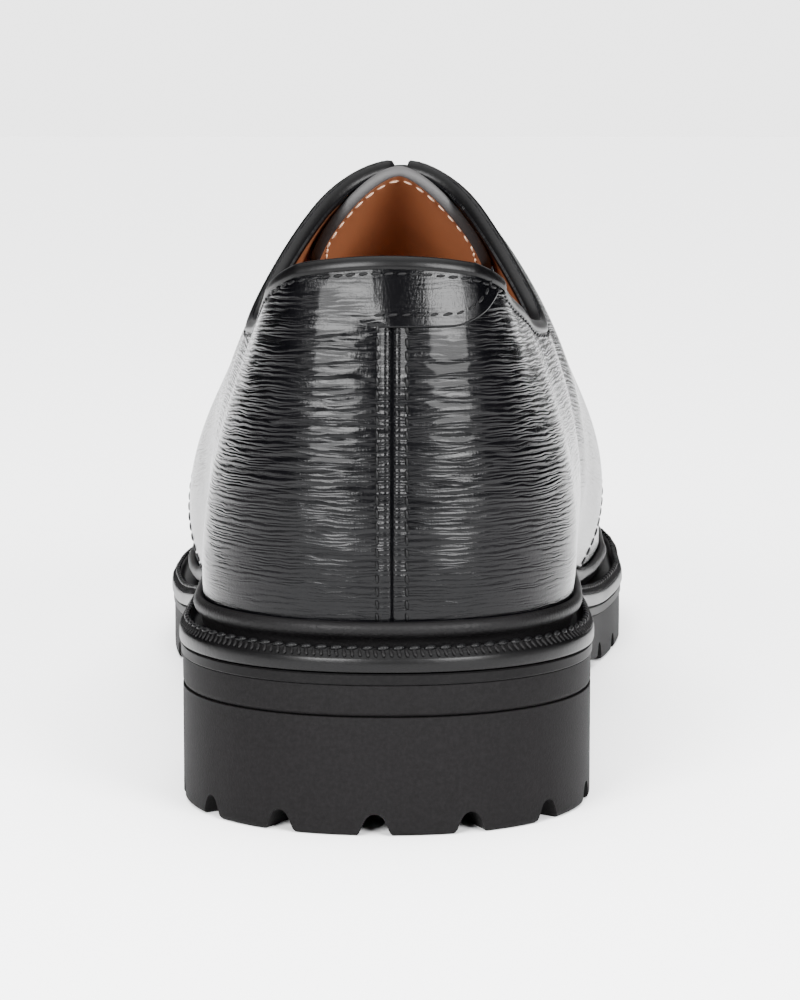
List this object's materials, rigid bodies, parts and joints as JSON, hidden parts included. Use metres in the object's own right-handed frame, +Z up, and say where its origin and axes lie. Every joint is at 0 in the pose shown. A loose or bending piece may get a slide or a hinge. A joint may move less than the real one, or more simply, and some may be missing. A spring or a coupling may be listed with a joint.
{
  "type": "derby shoe",
  "caption": "Black grained leather derby shoe, left, with open lacing, ribbed welt and a lugged rubber sole with heel block.",
  "frame": {"origin": "middle of the heel block's ground contact, on the lug that stands there", "axes": "+Y towards the toe, +X towards the inner side of the left foot, +Z up"},
  "size_m": [0.1062, 0.302, 0.1161],
  "materials": {
    "rubber": "matte, fine grain",
    "edge_leather": "dyed and waxed edge, semi-gloss",
    "black_leather": "polished, long wavy grain",
    "tan_leather": "smooth, satin",
    "waxed_cord": "round, waxed"
  },
  "bodies": {
    "root": {"heel_block": "rubber", "outsole": "rubber", "midsole": "edge_leather", "welt": "edge_leather", "insole": "tan_leather", "upper": "black_leather", "tongue": "black_leather", "lace_bar_1": "waxed_cord", "lace_bar_2": "waxed_cord", "lace_bar_3": "waxed_cord", "lace_bar_4": "waxed_cord", "lace_bar_5": "waxed_cord"}
  },
  "joints": []
}
